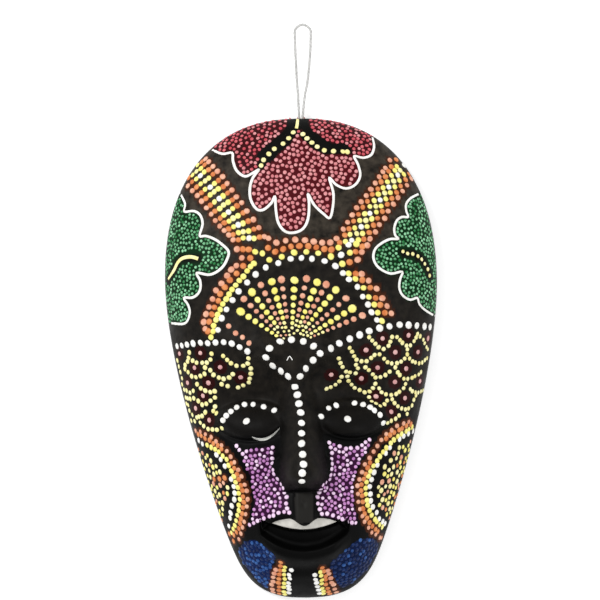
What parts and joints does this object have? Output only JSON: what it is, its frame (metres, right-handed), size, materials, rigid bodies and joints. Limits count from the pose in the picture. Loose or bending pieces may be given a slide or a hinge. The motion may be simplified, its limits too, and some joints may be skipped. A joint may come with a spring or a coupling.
{
  "type": "carved wall mask",
  "caption": "Long carved wooden wall mask, painted black with coloured dot patterns, hollow behind, lying on its flat rim with a cord loop at the crown.",
  "frame": {"origin": "middle of the mask's flat back, at the bottom centre of its box, without the cord", "axes": "+Z out of the face, +Y to the crown of the head, +X to the right as one looks at the face"},
  "size_m": [0.1364, 0.2877, 0.0535],
  "materials": {
    "painted_wood": "black acrylic paint with raised paint dots on light softwood",
    "cord": "twisted white cotton string",
    "white_paint": "raised drops of satin acrylic paint",
    "yellow_paint": "raised drops of satin acrylic paint",
    "orange_paint": "raised drops of satin acrylic paint",
    "red_paint": "raised drops of satin acrylic paint",
    "green_paint": "raised drops of satin acrylic paint",
    "violet_paint": "raised drops of satin acrylic paint",
    "blue_paint": "raised drops of satin acrylic paint"
  },
  "bodies": {
    "root": {"carved_mask": "painted_wood", "hanging_cord": "cord", "cord_knot": "cord"}
  },
  "joints": []
}
